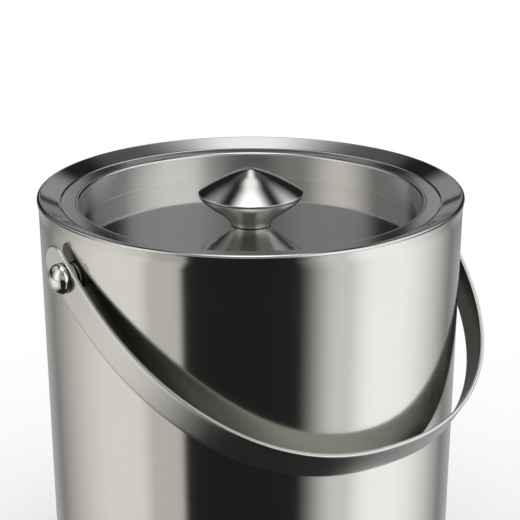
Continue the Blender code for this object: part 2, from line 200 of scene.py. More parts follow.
class BucketSizes(bpy.types.PropertyGroup):
    """Sizes of the body, lid, knob, strap and pivots."""

    wall: length("Sheet", "Thickness of the steel sheet", SHEET)
    gap: length("Gap", "Gap between two pieces that touch", 0.0003)
    taper: number("Taper", "Radius lost for each unit of height", 0.02)
    rim_radius: length("Rim radius", "Outside of the rolled edge", LINER_BOX[1].x)
    body_height: length("Body height", "Table to the top of the rim", LINER_BOX[1].z)
    bead: length("Rolled edge", "Outside radius of the rolled edge", 0.0012)
    rim_face: length("Rim face", "Width of the sloping face, seen from above", 0.0081)
    rim_slope: degrees("Rim slope", "Fall of the rim's face", 21.0)
    rim_rounding: length("Rim rounding", "Where the rim's face turns down to the seat", 0.0004)
    seat_rounding: length("Seat rounding", "Where the seat turns down into the liner", 0.0010)
    liner_floor: length("Liner floor", "Table to the liner's floor", LINER_BOX[0].z + SHEET)
    liner_corner: length("Liner corner", "Rounding of the liner's floor", 0.0120)
    liner_clearance: length("Lid in liner", "Lid's wall to the liner, on the radius", 0.0012)
    shell_top: length("Shell top", "Table to the shell's upper edge", SHELL_BOX[1].z)
    shell_radius: length("Shell radius", "Shell's radius at its upper edge", SHELL_BOX[1].x)
    shell_flare: length("Shell flare", "Height over which the shell widens to the rolled edge", 0.0040)
    flare_rounding: length("Flare rounding", "Rounding where the shell starts to widen", 0.0200)
    seam: length("Seam", "Gap between the shell and the rolled edge", 0.00004)
    shell_foot: length("Shell foot", "Table to the underside of the shell", SHELL_BOX[0].z)
    shell_corner: length("Shell corner", "Rounding at the shell's foot", 0.0080)
    foot_flange: length("Foot flange", "Turned-in width under the base plate", 0.0060)
    pad_rounding: length("Pad rounding", "Rounding of the rubber pad's lower edge", 0.0006)
    flange_top: length("Lid flange", "Table to the top of the lid's flange", PAN_BOX[1].z)
    flange_radius: length("Lid flange radius", "Outside of the lid's flange", PAN_BOX[1].x)
    flange_width: length("Lid flange width", "Flange's edge to the recess", 0.0073)
    lid_floor: length("Lid floor", "Table to the lid's floor", PAN_BOX[0].z + SHEET)
    recess_rounding: length("Recess rounding", "From the lid's flange to the recess", 0.0012)
    floor_rounding: length("Floor rounding", "From the recess to the lid's floor", 0.00005)
    cover_low: length("Lid underside", "Table to the underside of the lid", COVER_BOX[0].z)
    cover_high: length("Lid cover top", "Table to the upper edge of the lid's cover", COVER_BOX[1].z)
    cover_corner: length("Lid cover corner", "Rounding under the lid", 0.0020)
    knob_radius: length("Knob radius", "Outside of the knob's edge", CAP_BOX[1].x)
    knob_edge: length("Knob edge", "Thickness of the cone at its edge", 0.0005)
    knob_low: length("Cone base", "Table to the underside of the cone", CAP_BOX[0].z)
    knob_tip: length("Knob tip", "Table to the tip of the cone", CAP_BOX[1].z)
    knob_power: number("Cone power", "1 is a straight cone, 2 is a dome", 1.4)
    stem_low: length("Stem foot", "Table to the foot of the knob's stem", STEM_BOX[0].z)
    stem_high: length("Stem top", "Table to the top of the knob's stem", STEM_BOX[1].z)
    stem_neck: length("Stem neck", "Radius of the stem on the lid's floor", 0.0086)
    stem_foot_lean: degrees("Stem foot lean", "Lean of the stem from upright at its foot", 20.0)
    stem_edge_lean: degrees("Stem edge lean", "Lean of the stem from upright at its edge", 24.0)
    screw_bore: length("Screw bore", "Radius of the screw's hole", 0.0025)
    screw_depth: length("Screw depth", "Metal left over the screw's end", 0.0040)
    strap_outside: length("Strap half span", "Body's axis to the outside of the strap", STRAP_BOX[1].x)
    strap_reach: length("Strap reach", "Pivots to the top of the arch", 0.1158)
    strap_width: length("Strap width", "Width of the flat strap", 0.0145)
    strap_thickness: length("Strap thickness", "Thickness of the flat strap", 0.0016)
    strap_tail: length("Strap tail", "Pivot to where the round end starts", 0.00775)
    strap_squareness: number("Arch squareness", "2 is an ellipse, more is squarer", 2.29)
    strap_edge: length("Strap edge", "Rounding of the strap's edges", 0.0004)
    strap_bore: length("Strap bore", "Radius of the hole on the bush", 0.0043)
    dome_low: length("Dome base", "Body's axis to the flat of the dome nut", DOME_BOX[0].x)
    dome_high: length("Dome top", "Body's axis to the top of the dome nut", DOME_BOX[1].x)
    dome_radius: length("Dome radius", "Radius of the dome nut", (DOME_BOX[1].z - DOME_BOX[0].z) / 2)
    dome_skirt: length("Dome skirt", "Straight side of the dome nut", 0.0008)
    dome_bore: length("Dome bore", "Radius of the nut's hole", 0.0028)
    dome_cap: length("Dome cap", "Metal over the stud's end", 0.0014)
    bush_radius: length("Bush radius", "Radius of the bush in the strap", 0.0040)
    flange_round: length("Bush flange", "Radius of the bush's flange", (BUSH_BOX[1].z - BUSH_BOX[0].z) / 2)


class BucketFinishes(bpy.types.PropertyGroup):
    """Colours of the metals, rubber, nylon and foam."""

    shell_steel: colour("Shell steel", "Brushed stainless steel of the shell", "d6d6d2")
    rim_steel: colour("Rim steel", "Satin stainless steel of the rim and lid", "d4d4d3")
    lid_steel: colour("Lid steel", "Polished stainless steel of the lid's floor", "d2d2cf")
    knob_steel: colour("Knob steel", "Lathe-turned stainless steel of the knob", "d6d6d4")
    strap_steel: colour("Strap steel", "Satin stainless steel of the strap", "d8d9d6")
    # Painted shade: the strap's inner face is the same steel as its outer face, tinted darker for the shaded
    # shell it faces
    strap_inside_shade: colour("Strap inside", "Steel of the strap's inner face", "b0afa8")
    liner_steel: colour("Liner steel", "Ground stainless steel inside the liner", "dededc")
    dome_steel: colour("Dome steel", "Polished stainless steel of the pivots", "ececea")
    plain_steel: colour("Plain steel", "Unpolished steel inside", "b8b8b6")
    rubber: colour("Rubber", "Black rubber of the pad", "1d1d1d")
    nylon: colour("Nylon", "Dark nylon of the pivot washers", "2a2a2a")
    foam: colour("Foam", "Rigid foam between the walls", "ebe6d8")


class BucketStudio(bpy.types.PropertyGroup):
    """Camera, floor and light."""

    azimuth: degrees("Azimuth", "Camera round the bucket", -36.3)
    elevation: degrees("Elevation", "Camera above the rim", 16.186)
    distance: length("Distance", "Camera to the middle of the rim", 0.800)
    pitch: degrees("Pitch", "Camera's fall below level", 18.311)
    yaw: degrees("Yaw", "Camera's turn off the bucket's axis", -0.29)
    lens: number("Lens", "Focal length in millimetres", 131.03)
    floor_size: length("Floor", "Side of the floor", 12.0)
    floor_colour: colour("Floor colour", "Plain pale floor", "f2f2f2")


def add_node(tree, kind, settings=None, inputs=None):
    """Add a node with its settings, and link or set its inputs."""
    node = tree.nodes.new(kind)
    for name, value in (settings or {}).items():
        setattr(node, name, value)
    for name, value in (inputs or {}).items():
        socket = node.inputs[name]
        if isinstance(value, bpy.types.NodeSocket):
            tree.links.new(value, socket)
        else:
            socket.default_value = value
    return node


def new_finish(name):
    """An empty node material and its Principled shader."""
    finish = bpy.data.materials.new(name)
    finish.use_nodes = True
    shader = finish.node_tree.nodes["Principled BSDF"]
    return finish, finish.node_tree, shader


def turning_lines(tree, hairline, run):
    """Noise that runs round the bucket's axis in fine lines, as brushing or turning leaves it.

    A line is one hairline thick, up a wall or along a radius, and fades over the length of one run. Real
    lines are about 0.05 mm thick and too fine to show, so they are drawn 0.5 to 1.2 mm thick.
    """
    place = add_node(tree, "ShaderNodeTexCoord").outputs["Object"]
    parts = add_node(tree, "ShaderNodeSeparateXYZ", inputs={"Vector": place})
    flat = add_node(tree, "ShaderNodeVectorMath", {"operation": "MULTIPLY"}, {0: place, 1: (1.0, 1.0, 0.0)})
    radius = add_node(tree, "ShaderNodeVectorMath", {"operation": "LENGTH"}, {0: flat.outputs["Vector"]})
    across = add_node(
        tree, "ShaderNodeMath", {"operation": "SUBTRACT"},
        {0: radius.outputs["Value"], 1: parts.outputs["Z"]},
    )
    along = add_node(
        tree, "ShaderNodeVectorMath", {"operation": "MULTIPLY"},
        {0: flat.outputs["Vector"], 1: (1.0 / run, 1.0 / run, 0.0)},
    )
    lift = add_node(
        tree, "ShaderNodeVectorMath", {"operation": "SCALE"},
        {0: (0.0, 0.0, 1.0 / hairline), "Scale": across.outputs["Value"]},
    )
    lines = add_node(
        tree, "ShaderNodeVectorMath", {"operation": "ADD"},
        {0: along.outputs["Vector"], 1: lift.outputs["Vector"]},
    )
    return add_node(
        tree, "ShaderNodeTexNoise", {"noise_dimensions": "3D"},
        {"Vector": lines.outputs["Vector"], **LINE_NOISE},
    ).outputs["Fac"]


def hand_marks(tree, size):
    """Soft clouds of the given size, for the faint unevenness that wiping and handling leave."""
    place = add_node(tree, "ShaderNodeTexCoord").outputs["Object"]
    return add_node(
        tree, "ShaderNodeTexNoise", {"noise_dimensions": "3D"},
        {"Vector": place, "Scale": 1.0 / size, **CLOUD_NOISE},
    ).outputs["Fac"]


def shaded(tree, tint, pattern, spread):
    """A tint that a pattern darkens by up to the given share."""
    shade = add_node(
        tree, "ShaderNodeMapRange", inputs={
            "Value": pattern, "From Min": NOISE_LOW, "From Max": NOISE_HIGH,
            "To Min": 1.0 - spread, "To Max": 1.0,
        },
    )
    return add_node(
        tree, "ShaderNodeMix", {"data_type": "RGBA", "blend_type": "MULTIPLY"},
        {"Factor": 1.0, "A": (*tint, 1.0), "B": shade.outputs["Result"]},
    ).outputs["Result"]


def dress_steel(tree, shader, tint, lines, clouds, roughness, spread, depth):
    """Steel whose fine lines and clouds change its roughness, its tint a little, and its surface."""
    both = add_node(
        tree, "ShaderNodeMix", {"data_type": "FLOAT"}, {"Factor": CLOUD_SHARE, "A": lines, "B": clouds}
    ).outputs["Result"]
    gloss = add_node(
        tree, "ShaderNodeMapRange", inputs={
            "Value": both, "From Min": NOISE_LOW, "From Max": NOISE_HIGH,
            "To Min": roughness - spread, "To Max": roughness + spread,
        },
    )
    bump = add_node(tree, "ShaderNodeBump", inputs={"Strength": 1.0, "Distance": depth, "Height": lines})
    tree.links.new(shaded(tree, tint, both, TINT_SPREAD), shader.inputs["Base Color"])
    tree.links.new(gloss.outputs["Result"], shader.inputs["Roughness"])
    tree.links.new(bump.outputs["Normal"], shader.inputs["Normal"])
    shader.inputs["Metallic"].default_value = 1.0


def stretch_across_lines(tree, shader, amount):
    """Spread the gloss at right angles to lines that run round the bucket's axis."""
    around = add_node(tree, "ShaderNodeTangent", {"direction_type": "RADIAL", "axis": "Z"})
    tree.links.new(around.outputs["Tangent"], shader.inputs["Tangent"])
    shader.inputs["Anisotropic"].default_value = amount
    shader.inputs["Anisotropic Rotation"].default_value = ACROSS


def brushed_steel(name, tint, hairline, run, clouds, roughness, spread, depth, stretch=0.0):
    """Steel with lines round the bucket's axis, and soft clouds over them."""
    finish, tree, shader = new_finish(name)
    lines = turning_lines(tree, hairline, run)
    dress_steel(tree, shader, tint, lines, hand_marks(tree, clouds), roughness, spread, depth)
    if stretch > 0.0:
        stretch_across_lines(tree, shader, stretch)
    return finish


def hairline_shell_steel(finishes):
    """Stainless steel sheet, brushed round the wall and polished. It mirrors softly, more so up and down."""
    return brushed_steel(
        "hairline_shell_steel", finishes.shell_steel, hairline=0.0007, run=0.060, clouds=0.030,
        roughness=0.13, spread=0.02, depth=0.000002, stretch=0.6,
    )


def satin_rim_steel(finishes):
    """Stainless steel, drawn and buffed round the rim. It shows dark and light patches with soft edges."""
    return brushed_steel(
        "satin_rim_steel", finishes.rim_steel, hairline=0.0006, run=0.050, clouds=0.020,
        roughness=0.09, spread=0.02, depth=0.0000005, stretch=0.2,
    )


def ground_liner_steel(finishes):
    """Stainless steel inside the liner, ground and not buffed. It scatters light and looks evenly grey."""
    return brushed_steel(
        "ground_liner_steel", finishes.liner_steel, hairline=0.0008, run=0.060, clouds=0.020,
        roughness=0.42, spread=0.05, depth=0.000003,
    )


def brushed_recess_steel(finishes):
    """Stainless steel brushed round the recess wall. It draws what it mirrors into soft upright stripes."""
    return brushed_steel(
        "brushed_recess_steel", finishes.rim_steel, hairline=0.0006, run=0.050, clouds=0.020,
        roughness=0.23, spread=0.02, depth=0.000001, stretch=0.88,
    )


def mirror_lid_steel(finishes):
    """Stainless steel polished to a mirror in the lid's floor, with faint rings from the buffing wheel."""
    return brushed_steel(
        "mirror_lid_steel", finishes.lid_steel, hairline=0.0012, run=0.040, clouds=0.018,
        roughness=0.07, spread=0.025, depth=0.000001,
    )


def turned_knob_steel(finishes):
    """Solid stainless steel turned on a lathe. Its rings draw each light out from the tip to the edge."""
    return brushed_steel(
        "turned_knob_steel", finishes.knob_steel, hairline=0.0005, run=0.020, clouds=0.010,
        roughness=0.13, spread=0.02, depth=0.000002, stretch=0.5,
    )


def satin_stem_steel(finishes):
    """The knob's stem, turned but not polished. Its rings draw the lid's floor and wall into soft stripes."""
    return brushed_steel(
        "satin_stem_steel", finishes.knob_steel, hairline=0.0005, run=0.020, clouds=0.010,
        roughness=0.24, spread=0.02, depth=0.000002, stretch=0.85,
    )


def strap_steel(name, tint, roughness):
    """Stainless steel with lines along the strap, from its own map, and as coarse as on the other pieces."""
    finish, tree, shader = new_finish(name)
    place = add_node(tree, "ShaderNodeUVMap", {"uv_map": STRAP_MAP}).outputs["UV"]
    lines = add_node(
        tree, "ShaderNodeMapping",
        inputs={"Vector": place, "Scale": (1.0 / STRAP_RUN, 1.0 / STRAP_HAIRLINE, 1.0)},
    )
    grain = add_node(
        tree, "ShaderNodeTexNoise", {"noise_dimensions": "2D"},
        {"Vector": lines.outputs["Vector"], **LINE_NOISE},
    ).outputs["Fac"]
    clouds = hand_marks(tree, STRAP_CLOUDS)
    dress_steel(tree, shader, tint, grain, clouds, roughness, spread=0.02, depth=0.000001)
    return finish


def satin_strap_steel(finishes):
    """Stainless steel strip, brushed along its length. It is paler and softer than the shell."""
    return strap_steel("satin_strap_steel", finishes.strap_steel, roughness=0.22)


def shaded_inner_strap_steel(finishes):
    """The strap's inner face. Its tint is darker than the outer face's, as painted shade for the shaded shell
    it faces.
    """
    return strap_steel("shaded_inner_strap_steel", finishes.strap_inside_shade, roughness=0.24)


def clouded_steel(name, tint, grain, clouds, roughness, spread, depth):
    """Steel with no lines, a fine grain and soft clouds over it."""
    finish, tree, shader = new_finish(name)
    fine = hand_marks(tree, grain)
    dress_steel(tree, shader, tint, fine, hand_marks(tree, clouds), roughness, spread, depth)
    return finish


def polished_dome_steel(finishes):
    """Stainless steel dome nut, polished bright. It mirrors the lights as small sharp shapes."""
    return clouded_steel(
        "polished_dome_steel", finishes.dome_steel, grain=0.0012, clouds=0.006,
        roughness=0.06, spread=0.02, depth=0.000002,
    )


def plain_inside_steel(finishes):
    """Mill-finish steel of bushes, studs, screw and plates, matt and a little cloudy."""
    return clouded_steel(
        "plain_inside_steel", finishes.plain_steel, grain=0.0015, clouds=0.008,
        roughness=0.40, spread=0.06, depth=0.000005,
    )


def grained_matter(name, tint, grain, roughness, depth):
    """A moulded or foamed material with a grain in its tint and its surface.

    Real grain and foam cells are 0.1 to 0.3 mm and too fine to show, so they are drawn 0.5 to 1.2 mm.
    """
    finish, tree, shader = new_finish(name)
    place = add_node(tree, "ShaderNodeTexCoord").outputs["Object"]
    cells = add_node(
        tree, "ShaderNodeTexNoise", {"noise_dimensions": "3D"},
        {"Vector": place, "Scale": 1.0 / grain, **GRAIN_NOISE},
    ).outputs["Fac"]
    bump = add_node(tree, "ShaderNodeBump", inputs={"Distance": depth, "Height": cells})
    tree.links.new(shaded(tree, tint, cells, GRAIN_SPREAD), shader.inputs["Base Color"])
    tree.links.new(bump.outputs["Normal"], shader.inputs["Normal"])
    shader.inputs["Roughness"].default_value = roughness
    return finish


def moulded_rubber(finishes):
    """Moulded black rubber, matt with a fine grain."""
    return grained_matter("moulded_rubber", finishes.rubber, grain=0.0008, roughness=0.8, depth=0.00004)


def moulded_nylon(finishes):
    """Moulded dark nylon, half matt."""
    return grained_matter("moulded_nylon", finishes.nylon, grain=0.0005, roughness=0.5, depth=0.00001)


def rigid_foam(finishes):
    """Rigid insulating foam, matt with small cells."""
    return grained_matter("rigid_foam", finishes.foam, grain=0.0012, roughness=0.95, depth=0.0001)


def arc(centre, radii, start, end, steps=CURVE_STEPS):
    """Points along an ellipse's arc in the (radius, height) plane, with the angles in degrees."""
    points = []
    for step in range(steps + 1):
        angle = math.radians(start + (end - start) * step / steps)
        points.append((centre[0] + radii[0] * math.cos(angle), centre[1] + radii[1] * math.sin(angle)))
    return points


def corner_reach(before, corner, after, rounding):
    """How far from a corner its rounding starts."""
    first = (Vector(before) - Vector(corner)).normalized()
    second = (Vector(after) - Vector(corner)).normalized()
    return rounding / math.tan(first.angle(second) / 2)


def turned(corners, steps=BODY_STEPS, ring=False):
    """Turn an outline of (radius, height) or (radius, height, rounding) corners about Z."""
    shape = bmesh.new()
    points = [(corner[0], 0.0, corner[1]) for corner in corners]
    verts = [shape.verts.new(point) for point in points]
    for first, second in zip(verts, verts[1:]):
        shape.edges.new((first, second))
    if ring:
        shape.edges.new((verts[-1], verts[0]))
    for index, corner in enumerate(corners):
        if len(corner) < 3:
            continue
        before = points[index - 1]
        after = points[(index + 1) % len(points)]
        bmesh.ops.bevel(
            shape, geom=[verts[index]], offset=corner_reach(before, points[index], after, corner[2]),
            offset_type="OFFSET", affect="VERTICES", profile=0.5, material=-1,
            segments=ROUNDING_STEPS + int(corner[2] / ROUNDING_STEP),
        )
    hold_corners(shape)
    bmesh.ops.spin(
        shape, geom=shape.verts[:] + shape.edges[:], cent=(0.0, 0.0, 0.0), axis=(0.0, 0.0, 1.0),
        angle=math.tau, steps=steps, use_merge=True,
    )
    bmesh.ops.remove_doubles(shape, verts=shape.verts, dist=MERGE)
    bmesh.ops.recalc_face_normals(shape, faces=shape.faces)
    return shape


def hold_corners(shape):
    """Cut each long edge of an outline close to both its ends."""
    for edge in [edge for edge in shape.edges if edge.calc_length() > 4 * HOLD]:
        start, end = edge.verts
        part, _ = bmesh.utils.edge_split(edge, start, HOLD / edge.calc_length())
        rest = max((edge, part), key=lambda found: found.calc_length())
        bmesh.utils.edge_split(rest, end, HOLD / rest.calc_length())


def sheet(corners, wall, facing_up):
    """Turn a sheet's shown side, facing up or down at its lowest place, and thicken it behind that side."""
    shape = turned(corners)
    lowest = min(shape.faces, key=lambda face: face.calc_center_median().z)
    if (lowest.normal.z > 0.0) != facing_up:
        bmesh.ops.reverse_faces(shape, faces=shape.faces)
    bmesh.ops.solidify(shape, geom=shape.faces[:], thickness=wall)
    return shape


def to_pivot(shape, side):
    """Lay a piece that was turned about Z along the handle's axis, on one side of the bucket."""
    quarter = Matrix.Rotation(side * math.pi / 2, 3, "Y")
    bmesh.ops.rotate(shape, verts=shape.verts, cent=(0.0, 0.0, 0.0), matrix=quarter)
    bmesh.ops.translate(shape, verts=shape.verts, vec=(0.0, 0.0, PIVOT_LEVEL))


def add_piece(name, shape, finishes, body, slot, *nodes):
    """Make an object that stands for CAD nodes and moves with their body."""
    mesh = bpy.data.meshes.new(name)
    shape.to_mesh(mesh)
    shape.free()
    for finish in finishes:
        mesh.materials.append(finish)
    mesh.shade_smooth()
    mesh.set_sharp_from_angle(angle=SHARP_ANGLE)
    piece = bpy.data.objects.new(name, mesh)
    bpy.context.scene.collection.objects.link(piece)
    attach(piece, body)
    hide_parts(*nodes)
    return piece


def shell_radius(sizes, level):
    """Outside radius of the tapered shell at a height above the table."""
    return sizes.shell_radius - sizes.taper * (sizes.shell_top - level)


def build_shell(sizes, finish):
    """Tapered outer wall, flared to meet the rolled edge, with its rounded, turned-in foot."""
    foot = sizes.shell_foot
    flange = shell_radius(sizes, foot + sizes.shell_corner) - sizes.shell_corner - sizes.foot_flange
    top = sizes.body_height - sizes.bead - sizes.seam
    flare_low = top - sizes.shell_flare
    outline = [
        (sizes.rim_radius, top),
        (shell_radius(sizes, flare_low), flare_low, sizes.flare_rounding),
        (shell_radius(sizes, foot), foot, sizes.shell_corner),
        (flange, foot),
    ]
    shape = sheet(outline, sizes.wall, facing_up=False)
    add_piece("shell_wall", shape, [finish], "bucket", "brushed_shell", "outer_shell")


def build_rim(sizes, satin, ground):
    """Liner, lid seat, sloping rim and rolled edge, drawn from one sheet."""
    bead = sizes.bead
    bead_centre = (sizes.rim_radius - bead, sizes.body_height - bead)
    slope = math.degrees(sizes.rim_slope)
    roll = arc(bead_centre, (bead, bead), 90.0 + slope, 0.0)
    seat_radius = roll[0][0] - sizes.rim_face
    face_end = roll[0][1] - sizes.rim_face * math.tan(sizes.rim_slope)
    seat_level = sizes.flange_top - sizes.wall - sizes.gap
    liner_top = sizes.flange_radius - sizes.flange_width + sizes.wall + sizes.liner_clearance
    liner_low = liner_top - sizes.taper * (seat_level - sizes.liner_floor)
    outline = [
        (0.0, sizes.liner_floor),
        (liner_low, sizes.liner_floor, sizes.liner_corner),
        (liner_top, seat_level, sizes.seat_rounding),
        (seat_radius, seat_level),
        (seat_radius, face_end, sizes.rim_rounding),
    ]
    shape = sheet(outline + roll, sizes.wall, facing_up=True)
    liner_edge = seat_level - sizes.wall - sizes.seat_rounding
    for face in shape.faces:
        face.material_index = 1 if face.calc_center_median().z < liner_edge else 0
    add_piece("rim_and_liner", shape, [satin, ground], "bucket", "satin_rim", "inner_liner")


def build_lid(sizes, satin, mirror, brushed):
    """Lid pan with its flange and recess, and the cover that closes it underneath."""
    recess = sizes.flange_radius - sizes.flange_width
    outline = [
        (sizes.screw_bore, sizes.lid_floor),
        (recess, sizes.lid_floor, sizes.floor_rounding),
        (recess, sizes.flange_top, sizes.recess_rounding),
        (sizes.flange_radius, sizes.flange_top),
    ]
    shape = sheet(outline, sizes.wall, facing_up=True)
    floor_edge = recess - sizes.floor_rounding
    for face in shape.faces:
        middle = face.calc_center_median()
        if math.hypot(middle.x, middle.y) < floor_edge:
            face.material_index = 1
        elif abs(face.normal.z) < UPRIGHT:
            face.material_index = 2
    add_piece("lid_pan_dish", shape, [satin, mirror, brushed], "lid", "polished_lid", "lid_pan")

    outside = recess + sizes.wall
    outline = [
        (outside, sizes.cover_high),
        (outside, sizes.cover_low, sizes.cover_corner),
        (0.0, sizes.cover_low),
    ]
    shape = sheet(outline, sizes.wall, facing_up=False)
    add_piece("lid_underside", shape, [satin], "lid", "satin_rim", "lid_cover")


def build_knob(sizes, polished, satin):
    """Flared stem and the shallow cone on it.

    The stem's outline is a cubic curve that starts and ends with the two leans.
    """
    rise = sizes.stem_high - sizes.stem_low
    spread = sizes.knob_radius - sizes.stem_neck
    first = math.tan(sizes.stem_foot_lean) * rise / spread
    last = math.tan(sizes.stem_edge_lean) * rise / spread
    bore_end = sizes.knob_low - sizes.screw_depth
    outline = [(0.0, sizes.stem_high)]
    for step in range(CURVE_STEPS + 1):
        share = 1.0 - step / CURVE_STEPS
        out = first * share + (3 - 2 * first - last) * share ** 2 + (first + last - 2) * share ** 3
        outline.append((sizes.stem_neck + spread * out, sizes.stem_low + rise * share))
    outline += [(sizes.screw_bore, sizes.stem_low), (sizes.screw_bore, bore_end), (0.0, bore_end)]
    shape = turned(outline, KNOB_STEPS)
    add_piece("knob_stem", shape, [satin], "lid", "turned_knob", "knob_base")

    side_low = sizes.knob_low + sizes.knob_edge
    outline = []
    for step in range(CURVE_STEPS):
        share = step / CURVE_STEPS
        fall = (sizes.knob_tip - side_low) * share ** sizes.knob_power
        outline.append((sizes.knob_radius * share, sizes.knob_tip - fall))
    outline += [
        (sizes.knob_radius, side_low, KNOB_EDGE_ROUNDING),
        (sizes.knob_radius, sizes.knob_low, KNOB_EDGE_ROUNDING),
        (0.0, sizes.knob_low),
    ]
    shape = turned(outline, KNOB_STEPS)
    add_piece("knob_cone", shape, [polished], "lid", "turned_knob", "knob_cap")


def strap_stations(sizes):
    """Places along half the strap, from its round end to the top of the arch, as (across, along) pairs.

    The first ones are in the round end, the next ones on both sides of the bush, and the rest go round the
    arch.
    """
    half = sizes.strap_width / 2
    cell = sizes.strap_width / STRAP_COLUMNS
    straight = [-sizes.strap_tail - half * (1 - step / END_ROWS) for step in range(END_ROWS)]
    straight += [-sizes.strap_tail, -(sizes.strap_tail + BORE_ROWS * cell) / 2]
    straight += [row * cell for row in range(-BORE_ROWS, BORE_ROWS + 1)]
    power = sizes.strap_squareness
    stations = []
    for along in straight:
        share = max(along, 0.0) / sizes.strap_reach
        stations.append((sizes.strap_outside * (1 - share ** power) ** (1 / power), along))
    first = math.asin((straight[-1] / sizes.strap_reach) ** (power / 2))
    for step in range(1, ARCH_STEPS + 1):
        angle = first + (math.pi / 2 - first) * step / ARCH_STEPS
        across = sizes.strap_outside * math.cos(angle) ** (2 / power) if step < ARCH_STEPS else 0.0
        stations.append((across, sizes.strap_reach * math.sin(angle) ** (2 / power)))
    return stations


def build_strap(sizes, satin, inner_shade):
    """Flat strap bent to an arch, with a round end and a hole past each pivot."""
    half = sizes.strap_width / 2
    side = strap_stations(sizes)
    stations = side + [(-across, along) for across, along in reversed(side[:-1])]
    rows = len(stations) - 1
    bush_row = END_ROWS + TAIL_ROWS + BORE_ROWS
    shape = bmesh.new()
    grid = bmesh.ops.create_grid(shape, x_segments=rows, y_segments=STRAP_COLUMNS, size=1.0)["verts"]
    run = [0.0]
    for first, second in zip(stations, stations[1:]):
        run.append(run[-1] + math.dist(first, second))
    hole = []
    strap_map = shape.loops.layers.uv.new(STRAP_MAP)
    for face in shape.faces:
        for loop in face.loops:
            row = round((loop.vert.co.x + 1) / 2 * rows)
            loop[strap_map].uv = (run[row], half * loop.vert.co.y)
    for vert in grid:
        row = round((vert.co.x + 1) / 2 * rows)
        column = vert.co.y
        across, along = stations[row]
        width = half * column
        from_end = min(row, rows - row)
        if from_end < END_ROWS:
            into_end = 1 - from_end / END_ROWS
            along = -sizes.strap_tail - half * into_end * math.sqrt(1 - column ** 2 / 2)
            width = half * column * math.sqrt(1 - into_end ** 2 / 2)
        rows_off = abs(from_end - bush_row)
        columns_off = abs(column) * STRAP_COLUMNS / 2
        if max(rows_off, columns_off) < BORE_ROWS - 0.5:
            hole.append(vert)
        elif max(rows_off, columns_off) < BORE_ROWS + 0.5:
            round_off = sizes.strap_bore / math.hypot(along, width)
            along *= round_off
            width *= round_off
        vert.co = (across, -along, width)
    bmesh.ops.delete(shape, geom=hole, context="VERTS")
    shape.normal_update()
    if max(shape.faces, key=lambda face: face.calc_center_median().x).normal.x < 0.0:
        bmesh.ops.reverse_faces(shape, faces=shape.faces)
    bmesh.ops.solidify(shape, geom=shape.faces[:], thickness=sizes.strap_thickness)
    corners = [edge for edge in shape.edges if edge.calc_face_angle(0.0) > SHARP_ANGLE]
    bmesh.ops.bevel(
        shape, geom=corners, offset=sizes.strap_edge, offset_type="OFFSET", affect="EDGES",
        segments=STRAP_EDGE_STEPS, profile=0.5, material=-1,
    )
    shape.normal_update()
    # Faces that look in towards the axis take the darker inner finish, painted shade for the shaded shell
    # they face
    for face in shape.faces:
        middle = face.calc_center_median().normalized()
        face.material_index = 1 if face.normal.dot(middle) < -UPRIGHT else 0
    bmesh.ops.rotate(
        shape, verts=shape.verts, cent=(0.0, 0.0, 0.0), matrix=Matrix.Rotation(REST_DROP, 3, "X")
    )
    bmesh.ops.translate(shape, verts=shape.verts, vec=(0.0, 0.0, PIVOT_LEVEL))
    add_piece("strap", shape, [satin, inner_shade], "handle", "satin_strap", "handle_strap")


def build_pivots(sizes, polished, plain, nylon):
    """Dome nut, bush and washer on each side."""
    skirt = sizes.dome_low + sizes.dome_skirt
    bore_end = sizes.dome_high - sizes.dome_cap
    dome = arc((0.0, skirt), (sizes.dome_radius, sizes.dome_high - skirt), 90.0, 0.0)
    dome += [
        (sizes.dome_radius, sizes.dome_low, DOME_EDGE_ROUNDING),
        (sizes.dome_bore, sizes.dome_low),
        (sizes.dome_bore, bore_end),
        (0.0, bore_end),
    ]
    flange_high = RING_BOX[0].x - sizes.gap
    bush = [
        (sizes.bush_radius, BUSH_BOX[1].x),
        (sizes.bush_radius, flange_high),
        (sizes.flange_round, flange_high, BUSH_EDGE_ROUNDING),
        (sizes.flange_round, BUSH_BOX[0].x, BUSH_EDGE_ROUNDING),
        (sizes.dome_bore, BUSH_BOX[0].x),
        (sizes.dome_bore, BUSH_BOX[1].x),
    ]
    washer = [
        (sizes.flange_round, RING_BOX[1].x, WASHER_EDGE_ROUNDING),
        (sizes.flange_round, RING_BOX[0].x, WASHER_EDGE_ROUNDING),
        (sizes.strap_bore, RING_BOX[0].x),
        (sizes.strap_bore, RING_BOX[1].x),
    ]
    for side, turn in (("left", -1), ("right", 1)):
        for name, outline, ring, finish, slot, node in (
            ("dome_", dome, False, polished, "polished_dome", "pivot_dome_nut_"),
            ("bush_", bush, True, plain, "plain_steel", "pivot_bush_"),
            ("washer_", washer, True, nylon, "nylon", "pivot_washer_"),
        ):
            shape = turned(outline, PIVOT_STEPS, ring)
            to_pivot(shape, turn)
            add_piece(name + side, shape, [finish], "bucket", slot, node + side)


def build_pad(sizes, finish):
    """Rubber pad under the base."""
    low, high = PAD_BOX
    outline = [(0.0, high.z), (high.x, high.z), (high.x, low.z, sizes.pad_rounding), (0.0, low.z)]
    shape = turned(outline)
    add_piece("rubber_pad", shape, [finish], "bucket", "rubber", "base_pad")


def carry_over(finish, *names):
    """Give CAD nodes that stay as they are a finish of the scene's own."""
    for name in names:
        mesh = frame["nodes"][name].data
        mesh.materials.clear()
        mesh.materials.append(finish)


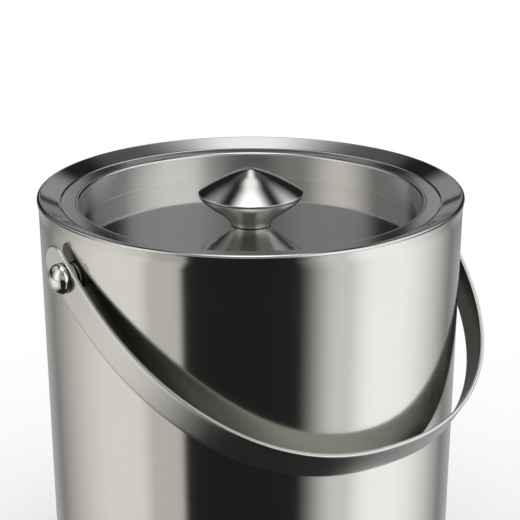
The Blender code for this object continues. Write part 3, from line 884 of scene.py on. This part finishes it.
def build_floor(studio):
    """Plain pale floor that the camera sees as white where no shadow falls on it."""
    shape = bmesh.new()
    bmesh.ops.create_grid(shape, x_segments=1, y_segments=1, size=studio.floor_size / 2)
    mesh = bpy.data.meshes.new("floor")
    shape.to_mesh(mesh)
    shape.free()
    finish, tree, shader = new_finish("pale_floor")
    shader.inputs["Base Color"].default_value = (*studio.floor_colour, 1.0)
    shader.inputs["Roughness"].default_value = FLOOR_ROUGHNESS
    shader.inputs["Specular IOR Level"].default_value = 0.0
    rays = add_node(tree, "ShaderNodeLightPath")
    seen = rays.outputs["Is Camera Ray"]
    for kind in ("Is Glossy Ray", "Is Transmission Ray"):
        seen = add_node(
            tree, "ShaderNodeMath", {"operation": "MAXIMUM"}, {0: seen, 1: rays.outputs[kind]}
        ).outputs["Value"]
    lift = add_node(tree, "ShaderNodeMath", {"operation": "MULTIPLY"}, {0: seen, 1: FLOOR_LIFT})
    shader.inputs["Emission Color"].default_value = (1.0, 1.0, 1.0, 1.0)
    tree.links.new(lift.outputs["Value"], shader.inputs["Emission Strength"])
    mesh.materials.append(finish)
    floor = bpy.data.objects.new("floor", mesh)
    bpy.context.scene.collection.objects.link(floor)
    # The steel mirrors the studio panels only, because a white floor would fill its dark bands
    floor.visible_glossy = False


def window(tree, value, limits):
    """Nothing outside the first and last limit of a value, and one between the two in the middle."""
    rise = add_node(
        tree, "ShaderNodeMapRange", {"interpolation_type": "SMOOTHSTEP"},
        {"Value": value, "From Min": limits[0], "From Max": limits[1]},
    )
    fall = add_node(
        tree, "ShaderNodeMapRange", {"interpolation_type": "SMOOTHSTEP"},
        {"Value": value, "From Min": limits[2], "From Max": limits[3], "To Min": 1.0, "To Max": 0.0},
    )
    return add_node(
        tree, "ShaderNodeMath", {"operation": "MULTIPLY"},
        {0: rise.outputs["Result"], 1: fall.outputs["Result"]},
    ).outputs["Value"]


def build_light(studio):
    """Soft panels all round the bucket, drawn in the world by their direction from it.

    Only mirrored rays see them. All else is lit by plain white light from every side.
    """
    world = bpy.data.worlds.new("studio")
    world.use_nodes = True
    bpy.context.scene.world = world
    tree = world.node_tree
    background = tree.nodes["Background"]
    place = add_node(tree, "ShaderNodeTexCoord").outputs["Generated"]
    turn = add_node(
        tree, "ShaderNodeVectorRotate", {"rotation_type": "Z_AXIS"},
        {"Vector": place, "Angle": math.pi / 2 - studio.azimuth},
    )
    parts = add_node(tree, "ShaderNodeSeparateXYZ", inputs={"Vector": turn.outputs["Vector"]})
    side = add_node(
        tree, "ShaderNodeMath", {"operation": "ARCTAN2"}, {0: parts.outputs["Y"], 1: parts.outputs["X"]}
    )
    side = add_node(tree, "ShaderNodeMath", {"operation": "DEGREES"}, {0: side.outputs["Value"]})
    rise = add_node(tree, "ShaderNodeMath", {"operation": "ARCSINE"}, {0: parts.outputs["Z"]})
    rise = add_node(tree, "ShaderNodeMath", {"operation": "DEGREES"}, {0: rise.outputs["Value"]})
    off_front = add_node(tree, "ShaderNodeMath", {"operation": "ABSOLUTE"}, {0: side.outputs["Value"]})
    light = (DARK, DARK, DARK)
    for panel in PANELS:
        measure = off_front if panel.mirrored else side
        across = window(tree, measure.outputs["Value"], panel.sides)
        up = window(tree, rise.outputs["Value"], panel.heights)
        shape = add_node(tree, "ShaderNodeMath", {"operation": "MULTIPLY"}, {0: across, 1: up})
        glow = [panel.level * channel for channel in linear(panel.tint)]
        lit = add_node(
            tree, "ShaderNodeVectorMath", {"operation": "SCALE"}, {0: glow, "Scale": shape.outputs["Value"]}
        )
        light = add_node(
            tree, "ShaderNodeVectorMath", {"operation": "MAXIMUM"}, {0: lit.outputs["Vector"], 1: light}
        ).outputs["Vector"]
    rays = add_node(tree, "ShaderNodeLightPath")
    shown = add_node(
        tree, "ShaderNodeMix", {"data_type": "RGBA"},
        {"Factor": rays.outputs["Is Glossy Ray"], "A": (1.0, 1.0, 1.0, 1.0), "B": light},
    )
    tree.links.new(shown.outputs["Result"], background.inputs["Color"])
    world.cycles.sampling_method = "NONE"


def build_camera(sizes, studio):
    """Camera at the photograph's viewing angle."""
    rim_middle = Vector((0.0, 0.0, sizes.body_height))
    level = math.cos(studio.elevation)
    away = Vector((
        math.sin(studio.azimuth) * level, -math.cos(studio.azimuth) * level, math.sin(studio.elevation)
    ))
    heading = studio.azimuth + studio.yaw
    back = Vector((
        math.sin(heading) * math.cos(studio.pitch),
        -math.cos(heading) * math.cos(studio.pitch),
        math.sin(studio.pitch),
    ))
    lens = bpy.data.cameras.new("camera")
    lens.lens = studio.lens
    camera = bpy.data.objects.new("camera", lens)
    camera.location = rim_middle + away * studio.distance
    camera.rotation_euler = back.to_track_quat("Z", "Y").to_euler()
    bpy.context.scene.collection.objects.link(camera)
    bpy.context.scene.camera = camera


class BUCKET_OT_shell(bpy.types.Operator):
    """Build the outer shell"""

    bl_idname = "bucket.shell"
    bl_label = "Shell"

    def execute(self, context):
        build_shell(context.scene.bucket_sizes, hairline_shell_steel(context.scene.bucket_finishes))
        return {"FINISHED"}


class BUCKET_OT_rim(bpy.types.Operator):
    """Build the rim, lid seat and liner"""

    bl_idname = "bucket.rim"
    bl_label = "Rim and liner"

    def execute(self, context):
        finishes = context.scene.bucket_finishes
        build_rim(context.scene.bucket_sizes, satin_rim_steel(finishes), ground_liner_steel(finishes))
        return {"FINISHED"}


class BUCKET_OT_lid(bpy.types.Operator):
    """Build the lid's pan and cover"""

    bl_idname = "bucket.lid"
    bl_label = "Lid"

    def execute(self, context):
        finishes = context.scene.bucket_finishes
        build_lid(
            context.scene.bucket_sizes, satin_rim_steel(finishes), mirror_lid_steel(finishes),
            brushed_recess_steel(finishes),
        )
        return {"FINISHED"}


class BUCKET_OT_knob(bpy.types.Operator):
    """Build the knob"""

    bl_idname = "bucket.knob"
    bl_label = "Knob"

    def execute(self, context):
        finishes = context.scene.bucket_finishes
        build_knob(context.scene.bucket_sizes, turned_knob_steel(finishes), satin_stem_steel(finishes))
        return {"FINISHED"}


class BUCKET_OT_strap(bpy.types.Operator):
    """Build the strap handle"""

    bl_idname = "bucket.strap"
    bl_label = "Strap"

    def execute(self, context):
        finishes = context.scene.bucket_finishes
        build_strap(context.scene.bucket_sizes, satin_strap_steel(finishes), shaded_inner_strap_steel(finishes))
        return {"FINISHED"}


class BUCKET_OT_pivots(bpy.types.Operator):
    """Build the dome nuts, bushes and washers"""

    bl_idname = "bucket.pivots"
    bl_label = "Pivots"

    def execute(self, context):
        finishes = context.scene.bucket_finishes
        build_pivots(
            context.scene.bucket_sizes, polished_dome_steel(finishes), plain_inside_steel(finishes),
            moulded_nylon(finishes),
        )
        return {"FINISHED"}


class BUCKET_OT_base(bpy.types.Operator):
    """Build the pad, and finish the pieces that the walls hide"""

    bl_idname = "bucket.base"
    bl_label = "Base and hidden pieces"

    def execute(self, context):
        finishes = context.scene.bucket_finishes
        build_pad(context.scene.bucket_sizes, moulded_rubber(finishes))
        carry_over(
            plain_inside_steel(finishes), "base_plate", "knob_screw", "knob_washer", "pivot_stud_left",
            "pivot_stud_right", "pivot_backing_plate_left", "pivot_backing_plate_right",
        )
        carry_over(rigid_foam(finishes), "insulation_sleeve", "insulation_disc", "lid_insulation")
        return {"FINISHED"}


class BUCKET_OT_studio(bpy.types.Operator):
    """Set up the floor, light and camera"""

    bl_idname = "bucket.studio"
    bl_label = "Studio"

    def execute(self, context):
        scene = context.scene
        scene.view_settings.view_transform = "Standard"
        scene.cycles.glossy_bounces = STEEL_BOUNCES
        build_floor(scene.bucket_studio)
        build_light(scene.bucket_studio)
        build_camera(scene.bucket_sizes, scene.bucket_studio)
        return {"FINISHED"}


OPERATORS = (
    BUCKET_OT_shell, BUCKET_OT_rim, BUCKET_OT_lid, BUCKET_OT_knob, BUCKET_OT_strap, BUCKET_OT_pivots,
    BUCKET_OT_base, BUCKET_OT_studio,
)


class BUCKET_PT_panel(bpy.types.Panel):
    """Pieces of the ice bucket"""

    bl_idname = "BUCKET_PT_panel"
    bl_label = "Ice bucket"
    bl_space_type = "VIEW_3D"
    bl_region_type = "UI"
    bl_category = "Ice bucket"

    def draw(self, context):
        scene = context.scene
        for group in (scene.bucket_sizes, scene.bucket_finishes, scene.bucket_studio):
            box = self.layout.box()
            for name in group.__annotations__:
                box.prop(group, name)
        for operator in OPERATORS:
            self.layout.operator(operator.bl_idname)


CLASSES = (BucketSizes, BucketFinishes, BucketStudio, *OPERATORS, BUCKET_PT_panel)


def register():
    """Add the classes, and the sizes, finishes and studio that each scene holds."""
    for found in CLASSES:
        bpy.utils.register_class(found)
    bpy.types.Scene.bucket_sizes = PointerProperty(type=BucketSizes)
    bpy.types.Scene.bucket_finishes = PointerProperty(type=BucketFinishes)
    bpy.types.Scene.bucket_studio = PointerProperty(type=BucketStudio)


def unregister():
    """Take away what register added."""
    del bpy.types.Scene.bucket_studio
    del bpy.types.Scene.bucket_finishes
    del bpy.types.Scene.bucket_sizes
    for found in reversed(CLASSES):
        bpy.utils.unregister_class(found)


def main():
    """Build every piece and the studio."""
    register()
    bpy.ops.bucket.shell()
    bpy.ops.bucket.rim()
    bpy.ops.bucket.lid()
    bpy.ops.bucket.knob()
    bpy.ops.bucket.strap()
    bpy.ops.bucket.pivots()
    bpy.ops.bucket.base()
    bpy.ops.bucket.studio()


if __name__ == "__main__":
    main()
